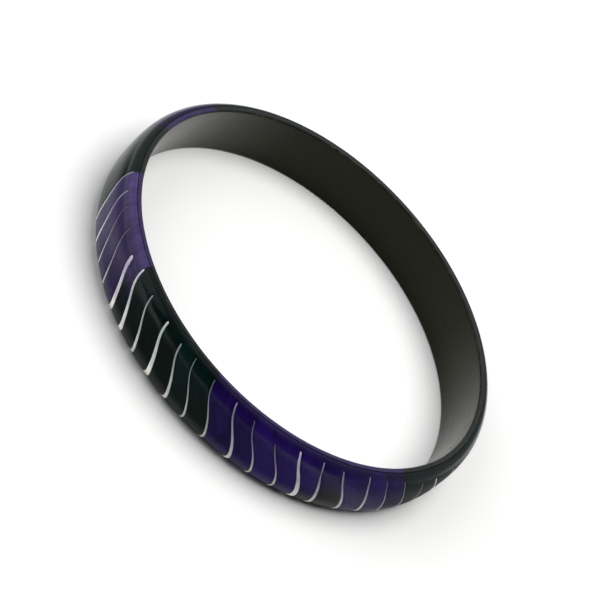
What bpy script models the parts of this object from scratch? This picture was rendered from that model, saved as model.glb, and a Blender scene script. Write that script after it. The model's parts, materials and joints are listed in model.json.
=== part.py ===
"""Closed slip-on bangle with wave lines let into its outer face.

Six domed coloured fields lie end to end round a plain dark metal band, and narrow white
strips fill grooves in the fields.
The origin is the centre of the ring, and +Z is the ring's axis. Units are metres.
"""
from collections import namedtuple
from math import ceil, cos, pi, radians, sin, sqrt
import random

import bmesh
import bpy

MM = 0.001

# Driving dimensions of the band
INNER_RADIUS = 32.5 * MM
BAND_WIDTH = 10.0 * MM
CORE_THICKNESS = 0.8 * MM       # of the plain metal band, which is also the rims' width
INNER_ROUNDING = 0.3 * MM       # radius where the inner wall meets the rim faces
RIM_BEVEL = 0.06 * MM           # at the core band's outer corners

# The section of the outer face: a superellipse that stands on the core band
CROWN = 2.05 * MM               # its height at the middle of the band
CROWN_POWER = 3                 # 2 would be an ellipse, and 3 has a flatter middle
FIELD_INSET = 0.1 * MM          # how far the fields stop inside the rim faces
GLUE_GAP = 0.1 * MM             # between the core band and the backs of the fields
GROOVE_DEPTH = 0.4 * MM
GROOVE_SHARE = 0.6              # of the fields' thickness: the limit close to their edges
CLEARANCE = 0.05 * MM           # between neighbouring fields, and round a strip in its groove

# The field colours in order round the ring, each with how many places for lines it spans
RUNS = (
    ("green", 3), ("purple", 5), ("green", 5), ("purple", 9), ("green", 26), ("purple", 3),
)
FIRST_PLACE = 2                 # where the first field starts
PLACE_COUNT = sum(length for _, length in RUNS)
EMPTY_PLACES = (3, 4)           # the first field is plain between its two ends

# Wave lines: each is half a period of a sine across the band, with a small hook at its foot
FRONT_PLACE = 14                # nearest to -Y
FRONT_ANGLE = radians(-90.2)
CROWDING = radians(5.3)         # lines stand closer on the -Y side and wider on the +Y side
UNEVENNESS = radians(0.8)       # hand-drawn irregularity of the spacing
SWAY = 2.35 * MM                # amplitude of the sine, along the circumference
SWAY_SPAN = 10.4 * MM           # axial length of its half period
SWAY_CENTRE = 1.2 * MM          # height of its steepest point
SWAY_UNEVENNESS = 0.24          # share of the sine's amplitude
HOOK = 0.9 * MM                 # how far the foot bends back
HOOK_START = 3.6 * MM           # below mid-height
LINE_WIDTHS = {"fine": 0.38 * MM, "plain": 0.58 * MM, "bold": 0.86 * MM}    # at the foot
TAPER = 0.62                    # share of its width that a line loses up to its top
TAPER_POWER = 1.3
BLUNT_TAPER = 0.15
LINE_TOP = 4.5 * MM             # height at which most lines end
BACK_LINE_TOP = 3.9 * MM        # the same, further round than the front
FRONT_REACH = radians(82)       # of the front on either side of -Y
SHORT_LINE_TOP = 3.6 * MM
TOP_UNEVENNESS = 0.2 * MM
NECK_WIDTH = 0.5                # share of the width left at a neck
BOLD_LINES = (9, 10, 12, 19, 26, 31, 35, 40, 46)
FINE_LINES = (1, 2, 7, 8, 14, 15, 17, 18, 23, 24, 25, 28, 33, 38, 42, 49)
SHORT_LINES = (2, 9, 18, 25, 37, 43)
NECKED_LINES = (7, 20, 41)      # lines that pinch in some way below their tops
SEED = 1725181

# Facets
RING_SEGMENTS = 96
ROUNDING_STEPS = 3
ROW_STEPS = (0.0, 0.035, 0.1, 0.22, 0.42, 0.64, 0.82, 0.93, 1.0)    # along a line, from its foot
NECK_ROW = 6
COLUMN_SPACING = radians(4.5)   # the most between two columns of a field
SHARP_ANGLE = radians(32)

# Colour, roughness and metallic value of each material
MATERIALS = {
    "core_coating": ((0.028, 0.028, 0.026), 0.38, 0.85),
    "purple_field": ((0.030, 0.010, 0.110), 0.10, 0.0),
    "green_field": ((0.004, 0.022, 0.022), 0.10, 0.0),
    "wave_white": ((0.62, 0.62, 0.58), 0.20, 0.0),
}

HALF_WIDTH = BAND_WIDTH / 2
FIELD_HALF = HALF_WIDTH - FIELD_INSET
CORE_RADIUS = INNER_RADIUS + CORE_THICKNESS
BACK_RADIUS = CORE_RADIUS + GLUE_GAP
BACK, GROOVE, SURFACE = range(3)
GROOVED_ROWS = len(ROW_STEPS) - 1
FIELD_ROWS = GROOVED_ROWS + 2

Line = namedtuple("Line", "angle sway width taper top necked")
Column = namedtuple("Column", "points line")


def outer_radius(z):
    """Radius of the domed outer face at height z."""
    return CORE_RADIUS + CROWN * sqrt(1 - abs(z / HALF_WIDTH) ** CROWN_POWER)


def groove_depth(z):
    """Depth of a groove at height z: shallower where the fields are thin."""
    return min(GROOVE_DEPTH, GROOVE_SHARE * (outer_radius(z) - BACK_RADIUS))


def level_radius(level, z):
    """Radius of a field's back, of its grooves' floors or of its surface."""
    if level == BACK:
        return BACK_RADIUS
    return outer_radius(z) - (groove_depth(z) if level == GROOVE else 0.0)


def polar(radius, angle, z):
    return (radius * cos(angle), radius * sin(angle), z)


def make_lines():
    """The wave line at every place round the ring, or None at an empty place."""
    rng = random.Random(SEED)
    lines = []
    for place in range(PLACE_COUNT):
        turn = 2 * pi * (place - FRONT_PLACE) / PLACE_COUNT
        weight = "bold" if place in BOLD_LINES else "fine" if place in FINE_LINES else "plain"
        short = place in SHORT_LINES
        top = SHORT_LINE_TOP if short else LINE_TOP if abs(wrap(turn)) < FRONT_REACH else BACK_LINE_TOP
        line = Line(
            angle=FRONT_ANGLE + turn - CROWDING * sin(turn) + rng.uniform(-UNEVENNESS, UNEVENNESS),
            sway=SWAY * (1 + rng.uniform(-SWAY_UNEVENNESS, SWAY_UNEVENNESS)),
            width=LINE_WIDTHS[weight],
            taper=BLUNT_TAPER if short and weight == "bold" else TAPER,
            top=top + rng.uniform(-TOP_UNEVENNESS, TOP_UNEVENNESS),
            necked=place in NECKED_LINES,
        )
        lines.append(None if place in EMPTY_PLACES else line)
    return lines


def wrap(angle):
    """An angle brought between minus and plus half a turn."""
    return (angle + pi) % (2 * pi) - pi


def lines_between(lines, start, length):
    """The lines from one place to another, counted on past a whole turn."""
    found = []
    for place in range(start, start + length + 1):
        line = lines[place % PLACE_COUNT]
        if line is not None:
            turns = place // PLACE_COUNT
            found.append(line._replace(angle=line.angle + 2 * pi * turns))
    return found


def line_angle(line, z):
    """Angle of a line's middle at height z."""
    sweep = sin(pi * (z - SWAY_CENTRE) / SWAY_SPAN) + sin(pi * SWAY_CENTRE / SWAY_SPAN)
    into_hook = max(0.0, (-z - HOOK_START) / (HALF_WIDTH - HOOK_START))
    return line.angle - (line.sway * sweep + HOOK * into_hook ** 2) / outer_radius(0)


def line_width(line, row):
    """Width of a line's groove at one row: thinner towards its top."""
    width = line.width * (1 - line.taper * ROW_STEPS[row] ** TAPER_POWER)
    if line.necked and row == NECK_ROW:
        width *= NECK_WIDTH
    return width + 2 * CLEARANCE


def row_heights(line):
    """Heights of the field's rows at a line, the last two of them above the line's top."""
    heights = [-FIELD_HALF + step * (line.top + FIELD_HALF) for step in ROW_STEPS]
    return heights + [(line.top + FIELD_HALF) / 2, FIELD_HALF]


def line_column(line, side, inset=0.0):
    """The rows of points beside a line: side is -1, 0 or 1 for its left, middle or right."""
    points = []
    for row, z in enumerate(row_heights(line)):
        half = line_width(line, min(row, GROOVED_ROWS)) / 2
        offset = side * half + inset
        points.append((line_angle(line, z) + offset / outer_radius(z), z))
    return Column(points, line)


def columns_between(left, right):
    """Evenly spaced columns between two others, close enough to follow the ring's curve."""
    middle = len(left.points) // 2
    parts = max(2, ceil((right.points[middle][0] - left.points[middle][0]) / COLUMN_SPACING))
    columns = []
    for part in range(1, parts):
        share = part / parts
        columns.append(Column([
            (a[0] + share * (b[0] - a[0]), a[1] + share * (b[1] - a[1]))
            for a, b in zip(left.points, right.points)
        ], None))
    return columns


def field_columns(lines):
    """Columns of one coloured field, from the middle of its first line to that of its last."""
    columns = [line_column(lines[0], 0, CLEARANCE / 2), line_column(lines[0], 1)]
    for line in lines[1:]:
        left = line_column(line, -1)
        columns += columns_between(columns[-1], left) + [left]
        if line is not lines[-1]:
            columns.append(line_column(line, 1))
    columns.append(line_column(lines[-1], 0, -CLEARANCE / 2))
    return columns


def cell_level(columns, column, row):
    """Whether a cell of a field lies at its surface or at the bottom of a groove."""
    left, right = columns[column:column + 2]
    in_groove = left.line is not None and left.line is right.line and row < GROOVED_ROWS
    return GROOVE if in_groove else SURFACE


def build_field(name, lines):
    """One coloured field: a domed plate with a groove for each of its lines."""
    columns = field_columns(lines)
    last_column = len(columns) - 1
    mesh = bmesh.new()
    known = {}

    def vertex(column, row, level):
        key = (column, row, level)
        if key not in known:
            angle, z = columns[column].points[row]
            known[key] = mesh.verts.new(polar(level_radius(level, z), angle, z))
        return known[key]

    def wall(start, end, low, high):
        """Faces between two grid points, from one level up to another."""
        for level in range(low, high):
            mesh.faces.new((
                vertex(*start, level), vertex(*end, level),
                vertex(*end, level + 1), vertex(*start, level + 1),
            ))

    def level_at(column, row):
        outside = column < 0 or column >= last_column or row < 0 or row >= FIELD_ROWS
        return BACK if outside else cell_level(columns, column, row)

    for column in range(last_column):
        for row in range(FIELD_ROWS):
            corners = ((column, row), (column + 1, row), (column + 1, row + 1), (column, row + 1))
            for level in (BACK, level_at(column, row)):
                mesh.faces.new([vertex(*corner, level) for corner in corners])

    for column in range(last_column + 1):
        for row in range(FIELD_ROWS):
            levels = sorted((level_at(column - 1, row), level_at(column, row)))
            wall((column, row), (column, row + 1), *levels)
    for column in range(last_column):
        for row in range(FIELD_ROWS + 1):
            levels = sorted((level_at(column, row - 1), level_at(column, row)))
            wall((column, row), (column + 1, row), *levels)
    return finish(name, mesh)


def build_strip(name, line):
    """One white strip, filling its groove up to the outer face."""
    heights = row_heights(line)[:GROOVED_ROWS + 1]
    heights[-1] -= CLEARANCE
    mesh = bmesh.new()
    rings = []
    for row, z in enumerate(heights):
        half = (line_width(line, row) / 2 - CLEARANCE) / outer_radius(z)
        middle = line_angle(line, z)
        top = outer_radius(z)
        bottom = top - groove_depth(z) + CLEARANCE
        corners = ((bottom, -half), (bottom, half), (top, half), (top, -half))
        rings.append([mesh.verts.new(polar(r, middle + a, z)) for r, a in corners])
    for lower, upper in zip(rings, rings[1:]):
        bridge(mesh, lower, upper)
    mesh.faces.new(rings[0])
    mesh.faces.new(rings[-1])
    return finish(name, mesh)


def bridge(mesh, first, second):
    """Faces between two rings that have the same number of points."""
    for here in range(len(first)):
        there = (here + 1) % len(first)
        mesh.faces.new((first[here], first[there], second[there], second[here]))


def core_profile():
    """The section of the core band as a closed loop of radii and heights."""
    upper = []
    for step in range(ROUNDING_STEPS + 1):
        angle = step * pi / 2 / ROUNDING_STEPS
        upper.append((
            INNER_RADIUS + INNER_ROUNDING * (1 - cos(angle)),
            HALF_WIDTH - INNER_ROUNDING * (1 - sin(angle)),
        ))
    upper.append((CORE_RADIUS - RIM_BEVEL, HALF_WIDTH))
    upper.append((CORE_RADIUS, HALF_WIDTH - RIM_BEVEL))
    return upper + [(radius, -z) for radius, z in reversed(upper)]


def build_core(name):
    """The core band: its section turned round the ring's axis."""
    profile = core_profile()
    mesh = bmesh.new()
    rings = []
    for segment in range(RING_SEGMENTS):
        angle = 2 * pi * segment / RING_SEGMENTS
        rings.append([mesh.verts.new(polar(radius, angle, z)) for radius, z in profile])
    for here, ring in enumerate(rings):
        bridge(mesh, ring, rings[(here + 1) % RING_SEGMENTS])
    return finish(name, mesh)


def finish(name, mesh):
    """Turn a bmesh into a shaded object in the scene."""
    bmesh.ops.recalc_face_normals(mesh, faces=mesh.faces)
    data = bpy.data.meshes.new(name)
    mesh.to_mesh(data)
    mesh.free()
    data.shade_smooth()
    data.set_sharp_from_angle(angle=SHARP_ANGLE)
    thing = bpy.data.objects.new(name, data)
    bpy.context.scene.collection.objects.link(thing)
    return thing


def make_material(name):
    colour, roughness, metallic = MATERIALS[name]
    material = bpy.data.materials.new(name)
    material.use_nodes = True
    shader = material.node_tree.nodes["Principled BSDF"]
    shader.inputs["Base Color"].default_value = (*colour, 1.0)
    shader.inputs["Roughness"].default_value = roughness
    shader.inputs["Metallic"].default_value = metallic
    return material


def clear_scene():
    for thing in list(bpy.data.objects):
        bpy.data.objects.remove(thing, do_unlink=True)


def main():
    clear_scene()
    materials = {name: make_material(name) for name in MATERIALS}
    lines = make_lines()

    core = build_core("core_band")
    core.data.materials.append(materials["core_coating"])

    start = FIRST_PLACE
    for number, (colour, length) in enumerate(RUNS, 1):
        spanned = lines_between(lines, start, length)
        field = build_field(f"field_{number}_{colour}", spanned)
        field.data.materials.append(materials[f"{colour}_field"])
        start += length

    present = [line for line in lines if line is not None]
    for number, line in enumerate(present, 1):
        strip = build_strip(f"wave_strip_{number:02d}", line)
        strip.data.materials.append(materials["wave_white"])


main()
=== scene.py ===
"""Looks of the closed bangle: glossy coloured fields with white wave lines on a dark satin core.

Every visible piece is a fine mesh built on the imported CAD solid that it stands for.
"""

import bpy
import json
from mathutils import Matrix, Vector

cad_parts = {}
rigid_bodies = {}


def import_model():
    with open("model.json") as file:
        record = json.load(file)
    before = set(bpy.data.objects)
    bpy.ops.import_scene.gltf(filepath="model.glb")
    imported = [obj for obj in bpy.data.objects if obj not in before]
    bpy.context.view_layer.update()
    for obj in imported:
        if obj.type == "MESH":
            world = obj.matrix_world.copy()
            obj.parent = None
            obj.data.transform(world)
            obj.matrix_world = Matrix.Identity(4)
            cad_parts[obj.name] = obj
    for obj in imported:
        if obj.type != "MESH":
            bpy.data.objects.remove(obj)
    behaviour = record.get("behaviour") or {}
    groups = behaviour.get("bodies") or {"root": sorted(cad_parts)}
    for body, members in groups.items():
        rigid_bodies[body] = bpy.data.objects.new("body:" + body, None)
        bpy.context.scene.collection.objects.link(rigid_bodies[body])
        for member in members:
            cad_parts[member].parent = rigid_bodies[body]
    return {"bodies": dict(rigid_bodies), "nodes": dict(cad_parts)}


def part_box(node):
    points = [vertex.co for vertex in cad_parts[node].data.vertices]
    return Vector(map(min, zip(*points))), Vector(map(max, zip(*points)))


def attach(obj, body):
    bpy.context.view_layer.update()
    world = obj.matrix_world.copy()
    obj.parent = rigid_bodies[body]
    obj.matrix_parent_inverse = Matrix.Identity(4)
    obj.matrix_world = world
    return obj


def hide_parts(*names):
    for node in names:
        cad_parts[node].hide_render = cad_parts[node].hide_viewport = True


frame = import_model()

import copy
import json
from math import cos, pi, radians, sin, sqrt, tau

import bmesh
import bpy
import numpy as np
from mathutils import Matrix, Vector

MM = 0.001

# Camera, in the object's frame
CAMERA_DISTANCE = 303.9 * MM
CAMERA_ELEVATION = radians(35.70)
CAMERA_ROLL = radians(48.01)
LENS = 118.0                    # mm, on Blender's standard 36 mm sensor

# What the CAD solids are known to follow
DOME_POWER = 3                  # of the superellipse that the outer face's section follows
COURSE_DEGREE = 6               # of the curve that a strip's middle line follows

# Fine detail of the pieces
SEAM = 0.012 * MM               # between a strip and its groove, and between two fields
EDGE_SOFTNESS = 0.04 * MM       # rounding of the edges on the outer face
SOFT_SHARE = 0.6                # of a strip's half width: the limit of that rounding
TIP_LENGTH = 1.3                # of a strip's rounded top, in half widths
NARROWEST = 0.01 * MM           # half width of a strip at its very tip
GROOVE_DEPTH = 0.35 * MM
GROOVE_SHARE = 0.55             # of the fields' thickness: the limit close to their edges
GROOVE_LEAN = 0.9               # of the seam that is left at the foot of a groove's wall

# How finely the pieces are divided
STEPS_UP = 36                   # rows along a line
STEPS_ABOVE = 7                 # rows from a line's top to the field's top
STEP_ACROSS = radians(1.0)      # between two columns of a field
ROUND_STEPS = 4                 # points round a softened edge
TURN_STEPS = 480                # segments of the core band
WALL_STEPS = 10                 # points up half of its inner wall
MOUTH_STEPS = 9                 # points round the edge between inner wall and rim
RIM_STEPS = 4                   # points across the rim's flat
BEVEL_STEPS = 5                 # points round the rim's outer edge
SHARP_ANGLE = radians(50)       # from which an edge is shaded sharp

SEED = 5                        # of the cells' tones
NOISE_SPREAD = 10               # of the strips along the noise that varies their cover

SAME_FLAT = 0.001 * MM          # corners this close to the rim's height lie on the rim
SAME_HEIGHT = 0.01 * MM         # corners this close in height lie in one row
SAME_ANGLE = radians(1.0)       # a strip this close to a field's end is its end strip

# Cells whose foot is marked, by the strip on their left: dark share (a stain), warm share (a painted
# warm reflection of a brownish floor) and the height at which the mark begins
FOOT_STAINS_AND_REFLECTIONS = {
    "wave_strip_08": (1.0, 0.0, 2.4 * MM),
    "wave_strip_18": (0.0, 0.8, -0.6 * MM),
    "wave_strip_19": (0.0, 1.0, 2.0 * MM),
}
FOOT_MARK_RISE = 2.2 * MM           # over which a cell's foot mark, stain and painted warm reflection alike, reaches its full strength
PALE_FIELD = "field_2_purple"   # its purple is painted paler, a painted reflection haze

# Floor: ovals of painted shade that glossy pieces reflect darker, as centre (mm), half sizes (mm),
# share of the oval at full strength, strength, and distance from the ring's centre where it begins
# (mm)
FLOOR_REACH = 3.0               # half of the floor's side (m)
FLOOR_GAP = 0.02 * MM           # left under the bangle
DARK_OVALS = (
    ((-6, -47), (34, 45), 0.60, 0.90, 35.5),        # in front
    ((16, -47), (44, 60), 0.30, 0.90, 35.5),        # in front, at the right
    ((100, -310), (300, 270), 0.70, 0.90, 35.5),    # far in front
    ((62, -8), (48, 42), 0.55, 0.84, 34.0),         # at the right
    ((270, -30), (240, 180), 0.60, 0.90, 35.5),     # far to the right
    ((-67, -25), (40, 45), 0.60, 0.88, 35.5),       # at the left
)
OVAL_ONSET = 2.5                # mm over which an oval's darkening begins

# Lights: name, place (m), diameter (m), power (W), colour, whether glossy pieces reflect them
LIGHTS = (
    ("top_softbox", (0.12, 0.12, 0.78), 0.8, 10.5, (1.0, 0.99, 0.97), False),
    ("left_window", (-0.76, -0.19, 0.42), 1.1, 2.6, (0.96, 0.98, 1.0), True),
    ("left_fill", (-0.60, -0.35, 0.50), 0.8, 4.2, (1.0, 1.0, 1.0), False),
)

# Room: its colour, and its brightness towards two directions, each given by its y
ROOM_COLOUR = (0.94, 0.96, 1.0, 1.0)
ROOM_FRONT_Y, ROOM_FRONT = -0.5, 0.04
ROOM_BACK_Y, ROOM_BACK = 0.4, 0.70


# ---------------------------------------------------------------- reading the frame

def node_points(name):
    """The separate corners of a CAD node, as rows of x, y, z."""
    corners = np.array([vertex.co for vertex in frame["nodes"][name].data.vertices])
    return np.unique(np.round(corners, 7), axis=0)


def radius_of(points):
    return np.hypot(points[:, 0], points[:, 1])


def fit_dome(strips):
    """Foot radius and height of the outer face's dome, fitted to the strips' outer corners."""
    heights = np.concatenate([strip.heights for strip in strips])
    radii = np.concatenate([strip.radii for strip in strips])
    crown, foot = np.polyfit([fullness(z) for z in heights], radii, 1)
    return foot, crown


def fullness(z):
    """Share of the dome's height that it reaches at height z of the band."""
    return sqrt(1 - abs(z / HALF_WIDTH) ** DOME_POWER)


def outer_radius(z):
    return FOOT_RADIUS + CROWN * fullness(z)


def groove_depth(z):
    return min(GROOVE_DEPTH, GROOVE_SHARE * (outer_radius(z) - BACK_RADIUS))


class Strip:
    """The course of one wave strip, read from the rows of corners of its CAD node."""

    def __init__(self, name):
        points = node_points(name)
        points = points[np.argsort(points[:, 2], kind="stable")].reshape(-1, 4, 3)
        self.name = name
        self.heights = points[:, :, 2].mean(axis=1)
        middle = points.mean(axis=1)
        base = np.arctan2(middle[0, 1], middle[0, 0])
        self.angles = base + wrap(np.arctan2(middle[:, 1], middle[:, 0]) - base)
        angles = np.arctan2(points[:, :, 1], points[:, :, 0]) - self.angles[:, None]
        self.radii = np.hypot(points[:, :, 0], points[:, :, 1]).max(axis=1)
        self.half_widths = np.abs(wrap(angles)).max(axis=1) * self.radii
        self.course = np.polynomial.Polynomial.fit(self.heights, self.angles, COURSE_DEGREE)
        self.bottom, self.top = self.heights[0], self.heights[-1]
        self.turn = 0.0

    def turned(self, angle):
        """The same strip, counted further round the ring."""
        other = copy.copy(self)
        other.turn = self.turn + angle
        return other

    def angle(self, z):
        return float(self.course(z)) + self.turn

    def half_width(self, z):
        """Half the strip's width at height z, rounded off at its top end."""
        half = float(np.interp(z, self.heights, self.half_widths))
        end = self.half_widths[-1] * TIP_LENGTH
        into_end = (z - (self.top - end)) / end
        if into_end > 0:
            half *= sqrt(max(0.0, 1 - into_end ** 2))
        return max(half, NARROWEST)


def wrap(angle):
    """Angles brought between minus and plus half a turn."""
    return (angle + pi) % tau - pi


CORE_POINTS = node_points("core_band")
INNER_RADIUS = radius_of(CORE_POINTS).min()
CORE_RADIUS = radius_of(CORE_POINTS).max()
HALF_WIDTH = CORE_POINTS[:, 2].max()
STRIPS = [Strip(name) for name in sorted(frame["nodes"]) if name.startswith("wave_strip")]
FIELD_NAMES = [name for name in sorted(frame["nodes"]) if name.startswith("field")]
FIELD_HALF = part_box(FIELD_NAMES[0])[1].z
BACK_RADIUS = min(radius_of(node_points(name)).min() for name in FIELD_NAMES)
FOOT_RADIUS, CROWN = fit_dome(STRIPS)


def field_ends(name):
    """The angles of a field's two ends at its lower edge, the second one further round."""
    points = node_points(name)
    lower = points[points[:, 2] < -FIELD_HALF + SAME_HEIGHT]
    middle = lower.mean(axis=0)
    centre = np.arctan2(middle[1], middle[0])
    offsets = wrap(np.arctan2(lower[:, 1], lower[:, 0]) - centre)
    return centre + offsets.min(), centre + offsets.max()


def strips_of_field(name):
    """The strips from one end of a field to the other, its two end ones included."""
    start, end = field_ends(name)
    found = []
    for strip in STRIPS:
        past_start = wrap(strip.angles[0] - start)
        if past_start < -SAME_ANGLE:
            past_start += tau
        if past_start < end - start + SAME_ANGLE:
            found.append((past_start, strip.turned(start + past_start - strip.angles[0])))
    return [strip for _, strip in sorted(found, key=lambda pair: pair[0])]


# ---------------------------------------------------------------- meshes

def polar(radius, angle, z):
    return (radius * cos(angle), radius * sin(angle), z)


class Builder:
    """A mesh with named numbers on its points for the materials to read."""

    def __init__(self, *attributes):
        self.mesh = bmesh.new()
        self.layers = [self.mesh.verts.layers.float.new(name) for name in attributes]

    def point(self, place, *values):
        vertex = self.mesh.verts.new(place)
        for layer, value in zip(self.layers, values):
            vertex[layer] = value
        return vertex

    def grid(self, rows, closed=False):
        """Faces between rows of points; closed joins each row's last point to its first."""
        count = len(rows[0])
        for lower, upper in zip(rows, rows[1:]):
            for here in range(count if closed else count - 1):
                there = (here + 1) % count
                self.mesh.faces.new((lower[here], lower[there], upper[there], upper[here]))

    def finish(self, name, node, material):
        """Make the object that stands for a CAD node."""
        bmesh.ops.recalc_face_normals(self.mesh, faces=self.mesh.faces)
        data = bpy.data.meshes.new(name)
        self.mesh.to_mesh(data)
        self.mesh.free()
        data.shade_smooth()
        data.set_sharp_from_angle(angle=SHARP_ANGLE)
        piece = bpy.data.objects.new(name, data)
        bpy.context.scene.collection.objects.link(piece)
        data.materials.append(material)
        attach(piece, "root")
        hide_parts(node)


def strip_rows(low, high):
    """Heights along a strip, closer together towards its ends."""
    steps = np.linspace(0, pi, STEPS_UP + 1)
    return list(low + (high - low) * (1 - np.cos(steps)) / 2)


def soft_edge():
    """Offsets and depths round a softened edge, from the surface down."""
    angles = [step / (ROUND_STEPS - 1) * pi / 2 for step in range(ROUND_STEPS)]
    return [(EDGE_SOFTNESS * (1 - sin(angle)), EDGE_SOFTNESS * (1 - cos(angle))) for angle in angles]


class Column:
    """One line of points up a field: angles and heights, with depths below the surface."""

    def __init__(self, places, depths, cell, across):
        self.places = places
        self.depths = depths
        self.cell = cell
        self.across = across


class Cell:
    """The stretch of a field between two strips: its own tone, its stain, its painted warm reflection
    and its paleness.
    """

    def __init__(self, left, pale, rng):
        self.tone = rng.random()
        self.pale = pale
        self.dark, self.warm, self.start = FOOT_STAINS_AND_REFLECTIONS.get(left.name, (0.0, 0.0, 0.0))

    def values(self, z):
        """Tone, dark stain, painted warm reflection and paleness at height z."""
        share = min(1.0, max(0.0, (self.start - z) / FOOT_MARK_RISE))
        return self.tone, self.dark * share, self.warm * share, self.pale


def row_heights(strip):
    """Heights of a field's rows at one of its strips, and how many of them are in the groove."""
    grooved = strip_rows(-FIELD_HALF, strip.top + SEAM)
    first = strip.top + 2 * SEAM
    steps = np.linspace(0, pi / 2, STEPS_ABOVE)
    above = first + (FIELD_HALF - first) * np.sin(steps)
    return grooved + list(above), len(grooved)


def groove_columns(strip, side, cell, across):
    """The columns on one side of a strip, from the field's surface to the groove's floor."""
    heights, grooved = row_heights(strip)
    sides = [(SEAM + offset, depth) for offset, depth in soft_edge()] + [(SEAM * GROOVE_LEAN, None)]
    columns = []
    for offset, depth in sides:
        places, depths = [], []
        for row, z in enumerate(heights):
            half = strip.half_width(min(z, strip.top))
            places.append((strip.angle(z) + side * (half + offset) / outer_radius(z), z))
            sunk = groove_depth(z) if depth is None else depth
            depths.append(sunk if row < grooved else 0.0)
        columns.append(Column(places, depths, cell, across))
    return columns


def end_column(strip, side, cell, across):
    """The column where a field ends, in the middle of its end strip's groove."""
    heights, grooved = row_heights(strip)
    places, depths = [], []
    for row, z in enumerate(heights):
        places.append((strip.angle(z) + side * SEAM / 2 / outer_radius(z), z))
        depths.append(groove_depth(z) if row < grooved else 0.0)
    return Column(places, depths, cell, across)


def between(left, right, share, cell):
    """A column of surface points part of the way from one column to another."""
    places = []
    for (angle_a, z_a), (angle_b, z_b) in zip(left.places, right.places):
        places.append((angle_a + (angle_b - angle_a) * share, z_a + (z_b - z_a) * share))
    return Column(places, [0.0] * len(places), cell, share)


def field_columns(strips, pale, rng):
    """All the columns of a field, from its first strip to its last."""
    columns = []
    for left, right in zip(strips, strips[1:]):
        cell = Cell(left, pale, rng)
        if not columns:
            columns.append(end_column(left, 1, cell, 0.0))
        left_side = groove_columns(left, 1, cell, 0.0)[::-1]
        right_side = groove_columns(right, -1, cell, 1.0)
        columns += left_side
        steps = round((right.angle(0.0) - left.angle(0.0)) / STEP_ACROSS)
        for step in range(1, steps):
            columns.append(between(left_side[-1], right_side[0], step / steps, cell))
        columns += right_side
    columns.append(end_column(strips[-1], -1, cell, 1.0))
    return columns


def build_field(name, strips, material, rng):
    """One coloured field with a softened edge along every groove."""
    columns = field_columns(strips, float(name == PALE_FIELD), rng)
    builder = Builder("tone", "dark", "warm", "pale", "across", "height")
    sheets = []
    for is_back in (False, True):
        sheet = []
        for column in columns:
            line = []
            for (angle, z), depth in zip(column.places, column.depths):
                radius = BACK_RADIUS if is_back else outer_radius(z) - depth
                values = (*column.cell.values(z), column.across, z / HALF_WIDTH)
                line.append(builder.point(polar(radius, angle, z), *values))
            sheet.append(line)
        builder.grid(sheet)
        sheets.append(sheet)
    front, back = sheets
    builder.grid([front[0], back[0]])
    builder.grid([front[-1], back[-1]])
    for row in (0, -1):
        builder.grid([[line[row] for line in front], [line[row] for line in back]])
    builder.finish(f"fine_{name}", name, material)


def strip_section(half, z):
    """Offsets and depths across a strip at height z, with soft upper edges."""
    soft = min(EDGE_SOFTNESS, half * SOFT_SHARE) / EDGE_SOFTNESS
    right = [(half - offset * soft, depth * soft) for offset, depth in soft_edge()]
    right.append((half, groove_depth(z) - SEAM))
    left = [(-offset, depth) for offset, depth in reversed(right)]
    return left + right


def build_strip(strip, material, tint):
    """One white strip that fills its groove."""
    builder = Builder("tint", "strength", "height", "along")
    strength = min(1.0, strip.half_widths[0] / BOLD_HALF)
    start = strip.angles[0] * NOISE_SPREAD
    rings = []
    for z in strip_rows(strip.bottom, strip.top):
        ring = []
        for offset, depth in strip_section(strip.half_width(z), z):
            place = polar(outer_radius(z) - depth, strip.angle(z) + offset / outer_radius(z), z)
            ring.append(builder.point(place, tint, strength, z / HALF_WIDTH, start + z / MM))
        rings.append(ring)
    builder.grid(rings, closed=True)
    builder.mesh.faces.new(rings[0])
    builder.mesh.faces.new(rings[-1])
    builder.finish(f"fine_{strip.name}", strip.name, material)


def core_section():
    """Radius, height, rim share and edge share round the core band's section."""
    flat = CORE_POINTS[CORE_POINTS[:, 2] > HALF_WIDTH - SAME_FLAT]
    flat_inner, flat_outer = radius_of(flat).min(), radius_of(flat).max()
    rounding = flat_inner - INNER_RADIUS
    bevel = CORE_RADIUS - flat_outer
    upper = []
    for share in np.arange(WALL_STEPS) / WALL_STEPS:
        upper.append((INNER_RADIUS, share * (HALF_WIDTH - rounding), 0.0, 0.0))
    for angle in np.linspace(0, pi / 2, MOUTH_STEPS):
        upper.append((
            flat_inner - rounding * cos(angle),
            HALF_WIDTH - rounding * (1 - sin(angle)), angle / (pi / 2), sin(2 * angle),
        ))
    for share in np.arange(1, RIM_STEPS + 1) / (RIM_STEPS + 1):
        upper.append((flat_inner + share * (flat_outer - flat_inner), HALF_WIDTH, 1.0, 0.0))
    for angle in np.linspace(0, pi / 2, BEVEL_STEPS):
        upper.append((
            flat_outer + bevel * sin(angle), HALF_WIDTH - bevel * (1 - cos(angle)), 1.0, 1.0,
        ))
    upper.append((CORE_RADIUS, FIELD_HALF / 2, 1.0, 0.0))
    lower = [(radius, -z, rim, edge) for radius, z, rim, edge in reversed(upper[1:])]
    return upper + lower


def beside_purple(angle, z, spans):
    """Whether a purple field lies beside the core band at this angle and height."""
    return any(
        (angle - first.angle(z)) % tau < last.angle(z) - first.angle(z) for first, last in spans
    )


def build_core(material, spans):
    """The core band, turned smoothly round its axis; spans holds each purple field's end strips."""
    builder = Builder("rim", "edge", "violet")
    section = core_section()
    rings = []
    for step in range(TURN_STEPS):
        angle = tau * step / TURN_STEPS
        violet = {sign: float(beside_purple(angle, sign * FIELD_HALF, spans)) for sign in (-1, 1)}
        rings.append([
            builder.point(polar(radius, angle, z), rim, edge, violet[1 if z > 0 else -1])
            for radius, z, rim, edge in section
        ])
    builder.grid(rings + rings[:1], closed=True)
    builder.finish("fine_core_band", "core_band", material)


# ---------------------------------------------------------------- materials

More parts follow.
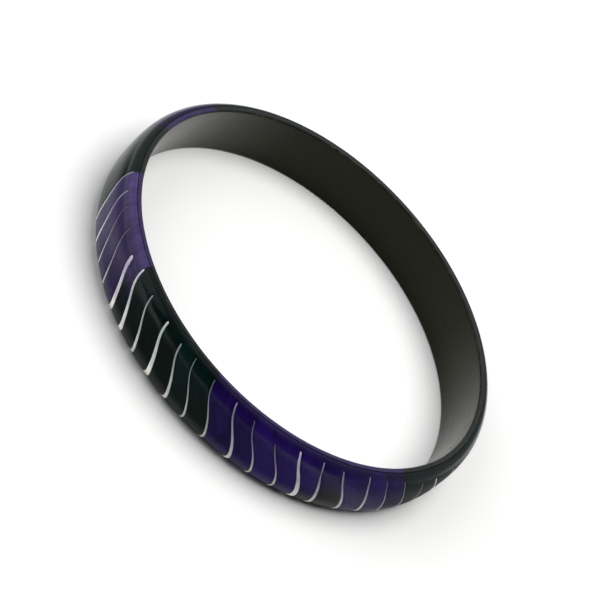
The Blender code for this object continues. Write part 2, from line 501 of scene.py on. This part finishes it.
class Shader:
    """A short way to write a node material."""

    def __init__(self, name):
        self.material = bpy.data.materials.new(name)
        self.material.use_nodes = True
        self.tree = self.material.node_tree
        self.tree.nodes.clear()

    def node(self, kind, inputs=None, **settings):
        made = self.tree.nodes.new(kind)
        for key, value in settings.items():
            setattr(made, key, value)
        for key, value in (inputs or {}).items():
            self.plug(made.inputs[key], value)
        return made

    def plug(self, socket, value):
        if isinstance(value, bpy.types.NodeSocket):
            self.tree.links.new(value, socket)
        elif isinstance(value, bpy.types.Node):
            self.tree.links.new(value.outputs[0], socket)
        else:
            socket.default_value = value

    def math(self, operation, first, second=0.0, third=0.0):
        return self.node(
            "ShaderNodeMath", {0: first, 1: second, 2: third}, operation=operation
        ).outputs[0]

    def attribute(self, name):
        return self.node("ShaderNodeAttribute", attribute_name=name).outputs["Fac"]

    def place(self):
        return self.node("ShaderNodeTexCoord").outputs["Object"]

    def vector(self, x, y, z):
        return self.node("ShaderNodeCombineXYZ", {0: x, 1: y, 2: z}).outputs[0]

    def noise(self, vector, scale, detail=3.0, roughness=0.5):
        return self.node("ShaderNodeTexNoise", {
            "Vector": vector, "Scale": scale, "Detail": detail, "Roughness": roughness,
        }).outputs["Fac"]

    def remap(self, value, low, high, to_low, to_high):
        return self.node("ShaderNodeMapRange", {
            "Value": value, "From Min": low, "From Max": high, "To Min": to_low, "To Max": to_high,
        }).outputs["Result"]

    def mix(self, share, first, second, blend="MIX"):
        made = self.node("ShaderNodeMix", data_type="RGBA", blend_type=blend)
        for socket, value in ((made.inputs[0], share), (made.inputs[6], first),
                              (made.inputs[7], second)):
            self.plug(socket, value)
        return made.outputs[2]

    def dim(self, tone, share):
        """A colour darkened to a share of itself."""
        return self.mix(1.0, tone, self.vector(share, share, share), "MULTIPLY")

    def scaled(self, vector, factors):
        return self.node("ShaderNodeVectorMath", {0: vector, 1: factors},
                         operation="MULTIPLY").outputs[0]

    def bump(self, height, strength, distance):
        return self.node("ShaderNodeBump", {
            "Height": height, "Strength": strength, "Distance": distance,
        }).outputs[0]

    def surface(self, **inputs):
        """Finish the material with a Principled shader, its inputs named in lower case."""
        names = {key.replace("_", " ").title().replace("Ior", "IOR"): value
                 for key, value in inputs.items()}
        shader = self.node("ShaderNodeBsdfPrincipled", names)
        self.node("ShaderNodeOutputMaterial", {"Surface": shader})


def grey(value):
    return (value, value, value, 1.0)


def colour(red, green, blue):
    return (red, green, blue, 1.0)


# Enamel colours: where it is deep, where it is thin, and its painted glints (specks of painted
# highlight)
ENAMELS = {
    "purple": (colour(0.0035, 0.0007, 0.024), colour(0.011, 0.0038, 0.068),
               colour(0.06, 0.04, 0.18)),
    "green": (colour(0.0004, 0.0030, 0.0026), colour(0.0010, 0.0080, 0.0070),
              colour(0.012, 0.060, 0.055)),
}
# The pale field's colours: painted paler, standing in for a haze of reflected light
PALE_DEEP = colour(0.013, 0.008, 0.034)
PALE_THIN = colour(0.028, 0.020, 0.068)
# The dark foot colour is a stain; the warm one is painted reflection of a brownish floor at the
# cells' feet
FOOT_MARK_COLOURS = {"dark": colour(0.0005, 0.0040, 0.0030), "warm": colour(0.007, 0.005, 0.004)}


def polished_coat(shader):
    """Roughness and bump of a polished coat: faint smudges, fine scratches, slight ripple."""
    place = shader.place()
    smudge = shader.noise(place, 160.0, 4.0, 0.6)
    scratches = shader.noise(shader.scaled(place, (500.0, 500.0, 9000.0)), 1.0, 2.0)
    roughness = shader.math(
        "ADD", shader.remap(smudge, 0.35, 0.7, 0.14, 0.26),
        shader.remap(scratches, 0.6, 0.8, 0.0, 0.06))
    ripple = shader.noise(place, 420.0, 2.0)
    normal = shader.bump(ripple, 0.10, 0.02 * MM)
    return roughness, normal


def thinness(shader, place, across, height):
    """How thin the enamel is: streaks that run with the waves, clouds, each cell's own tone."""
    cell = shader.attribute("tone")
    streak_vector = shader.vector(
        shader.math("MULTIPLY_ADD", across, 5.0, shader.math("MULTIPLY", cell, 60.0)),
        shader.math("MULTIPLY", height, 0.9), cell)
    streaks = shader.noise(streak_vector, 1.6, 4.0, 0.6)
    clouds = shader.noise(place, 260.0, 3.0)
    tone = shader.math("ADD", shader.math("MULTIPLY", streaks, 0.65),
                       shader.math("MULTIPLY", clouds, 0.35))
    tone = shader.math("ADD", tone, shader.remap(cell, 0.0, 1.0, -0.12, 0.12))
    return shader.remap(tone, 0.34, 0.68, 0.0, 1.0)


def stained_and_reflecting(shader, body, place):
    """The enamel's colour with the stained feet of some cells and a painted warm reflection at the
    feet of others, ragged at their upper edge.
    """
    ragged = shader.remap(shader.noise(place, 900.0, 4.0, 0.6), 0.3, 0.7, 0.7, 1.2)
    for tinge, mark_colour in FOOT_MARK_COLOURS.items():
        share = shader.node("ShaderNodeMath", {0: shader.attribute(tinge), 1: ragged},
                            operation="MULTIPLY", use_clamp=True).outputs[0]
        body = shader.mix(share, body, mark_colour)
    return body


def painted_glints(shader, place):
    """Share of the colour that comes from painted glints: tiny bright specks of painted highlight
    scattered over the enamel.
    """
    grains = shader.node("ShaderNodeTexVoronoi", {"Vector": place, "Scale": 3800.0})
    chosen = shader.node("ShaderNodeSeparateColor", {0: grains.outputs["Color"]}).outputs[0]
    dot = shader.math("MULTIPLY", shader.math("LESS_THAN", grains.outputs["Distance"], 0.16),
                      shader.math("GREATER_THAN", chosen, 0.93))
    return shader.math("MULTIPLY", dot, 0.5)


def enamel(name, deep, thin, glint_colour):
    """Coloured field: streaked enamel, stained feet, painted warm reflections, painted shoulder shade
    and painted glints, under a polished coat.
    """
    shader = Shader(name)
    across = shader.attribute("across")
    height = shader.attribute("height")
    pale = shader.attribute("pale")
    place = shader.place()

    share = thinness(shader, place, across, height)
    # On the pale field the colour is painted paler: a painted reflection haze
    body = shader.mix(pale, shader.mix(share, deep, thin), shader.mix(share, PALE_DEEP, PALE_THIN))
    body = stained_and_reflecting(shader, body, place)

    # The colour is darker along both sides of every line. Up the shoulder it is painted shade, darker
    # towards the top where the face catches more light; on the pale field it is painted highlight
    # instead
    from_middle = shader.math("ABSOLUTE", shader.math("SUBTRACT", across, 0.5))
    body = shader.dim(body, shader.remap(from_middle, 0.36, 0.5, 1.0, 0.7))
    painted_shoulder_light = shader.remap(pale, 0.0, 1.0, 0.45, 1.5)
    body = shader.dim(body, shader.remap(height, 0.78, 0.96, 1.0, painted_shoulder_light))
    # Painted glints: tiny bright specks of painted highlight
    body = shader.mix(painted_glints(shader, place), body, glint_colour)

    roughness, normal = polished_coat(shader)
    shader.surface(
        base_color=body, roughness=0.45, specular_ior_level=0.0, coat_weight=0.6,
        coat_roughness=roughness, coat_ior=1.40, coat_normal=normal,
    )
    return shader.material


def wave_white():
    """White strips: uneven cover, so the field's colour shows through thinner places, and painted
    light at their lower ends.
    """
    shader = Shader("wave_white")
    tint = shader.attribute("tint")
    strength = shader.attribute("strength")
    height = shader.attribute("height")
    along = shader.attribute("along")
    place = shader.place()

    lavender = colour(0.52, 0.44, 0.80)
    pale_teal = colour(0.54, 0.72, 0.72)
    cream = colour(0.86, 0.85, 0.76)
    tinge = shader.mix(tint, pale_teal, lavender)
    cover = shader.noise(shader.vector(along, 0.0, 0.0), 0.55, 3.0)
    thin = shader.math("MULTIPLY", shader.remap(height, -0.6, 0.3, 0.0, 1.0),
                       shader.remap(strength, 0.45, 1.0, 0.95, 0.55))
    thin = shader.math("ADD", thin, shader.remap(cover, 0.35, 0.7, 0.25, -0.15))
    body = shader.mix(thin, cream, tinge)
    fading = shader.remap(strength, 0.45, 1.0, 0.28, 0.85)
    dim = shader.math("MULTIPLY", shader.remap(strength, 0.45, 1.0, 0.36, 0.56),
                      shader.remap(cover, 0.3, 0.7, 0.8, 1.05))
    dim = shader.math("MULTIPLY", dim, shader.remap(height, 0.1, 0.95, 1.0, fading))
    # Painted light: the lower ends are painted up to 1.6 times brighter, where they face down towards
    # the bright floor
    dim = shader.math("MULTIPLY", dim, shader.remap(height, -0.75, 0.0, 1.6, 1.0))
    body = shader.dim(body, dim)
    grain = shader.noise(place, 5200.0, 2.0)
    body = shader.mix(shader.remap(grain, 0.5, 0.8, 0.0, 0.25), body, grey(0.35))

    roughness, normal = polished_coat(shader)
    shader.surface(
        base_color=body, roughness=0.45, specular_ior_level=0.12, coat_weight=0.6,
        coat_roughness=roughness, coat_ior=1.40, coat_normal=normal,
    )
    return shader.material


def core_coating():
    """Dark satin coating over metal: turning marks, rubbed edges, rims tinted by the fields."""
    shader = Shader("core_coating")
    rim = shader.attribute("rim")
    edge = shader.attribute("edge")
    violet = shader.attribute("violet")
    place = shader.place()

    marks = shader.noise(shader.scaled(place, (60.0, 60.0, 14000.0)), 1.0, 4.0, 0.65)
    clouds = shader.noise(place, 90.0, 4.0, 0.6)
    olive = shader.mix(clouds, colour(0.0022, 0.0027, 0.0010), colour(0.0060, 0.0073, 0.0028))
    plain_rim = shader.mix(clouds, colour(0.005, 0.007, 0.006), colour(0.012, 0.014, 0.013))
    violet_rim = shader.mix(clouds, colour(0.012, 0.008, 0.030), colour(0.026, 0.018, 0.060))
    body = shader.mix(rim, olive, shader.mix(violet, plain_rim, violet_rim))
    body = shader.mix(shader.remap(marks, 0.5, 0.8, 0.0, 0.30), body, colour(0.020, 0.021, 0.018))

    rub_noise = shader.noise(place, 900.0, 5.0, 0.7)
    rubbed = shader.math("MULTIPLY", edge, shader.remap(rub_noise, 0.52, 0.75, 0.0, 0.35))
    body = shader.mix(rubbed, body, colour(0.12, 0.12, 0.115))

    roughness = shader.math("ADD", shader.remap(clouds, 0.3, 0.7, 0.22, 0.32),
                            shader.remap(marks, 0.4, 0.8, -0.03, 0.08))
    normal = shader.bump(marks, 0.25, 0.006 * MM)
    facing = shader.node("ShaderNodeLayerWeight", {"Blend": 0.5}).outputs["Facing"]
    shader.surface(
        base_color=body, roughness=roughness, metallic=shader.math("MULTIPLY", rubbed, 0.8),
        specular_ior_level=shader.remap(facing, 0.3, 0.7, 0.09, 0.26),
        specular_tint=colour(1.0, 1.0, 0.78), normal=normal,
    )
    return shader.material


# ---------------------------------------------------------------- stage

def dark_oval(shader, place, centre, size, core, strength, start):
    """Painted shade of the floor in one oval: none near the bangle's foot and outside the oval."""
    offset = shader.node("ShaderNodeVectorMath", {0: place, 1: (*centre, 0.0)}, operation="SUBTRACT")
    # The floor is level, so its height is divided until it hardly counts.
    scaled = shader.node("ShaderNodeVectorMath", {0: offset, 1: (*size, 1 / MM)}, operation="DIVIDE")
    reach = shader.node("ShaderNodeVectorMath", {0: scaled}, operation="LENGTH").outputs["Value"]
    from_centre = shader.node("ShaderNodeVectorMath", {0: place}, operation="LENGTH").outputs["Value"]
    onset = shader.remap(from_centre, start, start + OVAL_ONSET, 0.0, 1.0)
    return shader.math("MULTIPLY", shader.remap(reach, core, 1.0, strength, 0.0), onset)


def floor_paper():
    """Plain pale paper, a little duller to the camera, and dark ovals of painted shade for glossy
    rays only.
    """
    shader = Shader("floor_paper")
    place = shader.place()
    grain = shader.noise(place, 900.0, 3.0)
    pale = shader.mix(shader.remap(grain, 0.4, 0.6, 0.0, 1.0), grey(0.76), grey(0.80))
    path = shader.node("ShaderNodeLightPath")
    pale = shader.mix(path.outputs["Is Camera Ray"], pale, grey(0.53))
    place_mm = shader.scaled(place, (1 / MM, 1 / MM, 1 / MM))
    darkness = 0.0
    for oval in DARK_OVALS:
        darkness = shader.math("MAXIMUM", darkness, dark_oval(shader, place_mm, *oval))
    dulled = shader.math("MULTIPLY", path.outputs["Is Glossy Ray"], darkness)
    # Painted shade: glossy rays see the floor dark brown inside the ovals
    tone = shader.mix(dulled, pale, colour(0.035, 0.030, 0.024))
    shader.surface(base_color=tone, roughness=0.9, specular_ior_level=0.1)
    return shader.material


def build_floor():
    """A flat floor just under the bangle."""
    data = bpy.data.meshes.new("floor")
    level = -HALF_WIDTH - FLOOR_GAP
    signs = ((-1, -1), (1, -1), (1, 1), (-1, 1))
    corners = [(x * FLOOR_REACH, y * FLOOR_REACH, level) for x, y in signs]
    data.from_pydata(corners, [], [(0, 1, 2, 3)])
    data.materials.append(floor_paper())
    floor = bpy.data.objects.new("floor", data)
    bpy.context.scene.collection.objects.link(floor)


def add_light(name, place, size, power, tone, reflected):
    """A round area light aimed at the bangle."""
    light = bpy.data.lights.new(name, "AREA")
    light.shape = "DISK"
    light.size = size
    light.energy = power
    light.color = tone
    lamp = bpy.data.objects.new(name, light)
    lamp.location = place
    lamp.rotation_euler = (-Vector(place)).to_track_quat("-Z", "Y").to_euler()
    lamp.visible_glossy = reflected
    bpy.context.scene.collection.objects.link(lamp)


def build_room():
    """A plain room that is darker in front of the bangle than behind it."""
    world = bpy.data.worlds.new("room")
    world.use_nodes = True
    nodes, links = world.node_tree.nodes, world.node_tree.links
    background = nodes["Background"]
    background.inputs["Color"].default_value = ROOM_COLOUR
    direction = nodes.new("ShaderNodeTexCoord")
    axes = nodes.new("ShaderNodeSeparateXYZ")
    depth = nodes.new("ShaderNodeMapRange")
    depth.inputs["From Min"].default_value = ROOM_FRONT_Y
    depth.inputs["From Max"].default_value = ROOM_BACK_Y
    depth.inputs["To Min"].default_value = ROOM_FRONT
    depth.inputs["To Max"].default_value = ROOM_BACK
    links.new(direction.outputs["Generated"], axes.inputs[0])
    links.new(axes.outputs["Y"], depth.inputs["Value"])
    links.new(depth.outputs["Result"], background.inputs["Strength"])
    bpy.context.scene.world = world


def build_camera():
    """A camera on the best-seen side, rolled so that the bangle leans as it was seen."""
    data = bpy.data.cameras.new("camera")
    data.lens = LENS
    data.clip_start = 0.01
    camera = bpy.data.objects.new("camera", data)
    place = Vector((0.0, -cos(CAMERA_ELEVATION), sin(CAMERA_ELEVATION))) * CAMERA_DISTANCE
    facing = (-place).to_track_quat("-Z", "Y").to_matrix().to_4x4()
    camera.matrix_world = Matrix.Translation(place) @ facing @ Matrix.Rotation(CAMERA_ROLL, 4, "Z")
    bpy.context.scene.collection.objects.link(camera)
    bpy.context.scene.camera = camera


# ---------------------------------------------------------------- assembly

def tint_of(strip, tints):
    """The mean tint of the fields that a strip touches: 0 in green and 1 in purple."""
    found = tints[strip.name]
    return sum(found) / len(found)


def clear_startup():
    """Remove whatever the startup file holds beside the frame."""
    kept = set(frame["nodes"].values()) | set(frame["bodies"].values())
    for thing in list(bpy.data.objects):
        if thing not in kept:
            bpy.data.objects.remove(thing, do_unlink=True)


clear_startup()
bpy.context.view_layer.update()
BOLD_HALF = max(strip.half_widths[0] for strip in STRIPS)
rng = np.random.default_rng(SEED)

enamels = {hue: enamel(f"{hue}_enamel", *colours) for hue, colours in ENAMELS.items()}
white = wave_white()

tints = {strip.name: [] for strip in STRIPS}
purple_spans = []
for name in FIELD_NAMES:
    hue = name.split("_")[-1]
    strips = strips_of_field(name)
    if hue == "purple":
        purple_spans.append((strips[0], strips[-1]))
    for strip in strips:
        tints[strip.name].append(float(hue == "purple"))
    build_field(name, strips, enamels[hue], rng)
for strip in STRIPS:
    build_strip(strip, white, tint_of(strip, tints))
build_core(core_coating(), purple_spans)

build_floor()
build_room()
for light in LIGHTS:
    add_light(*light)
build_camera()
bpy.context.scene.view_settings.view_transform = "Standard"
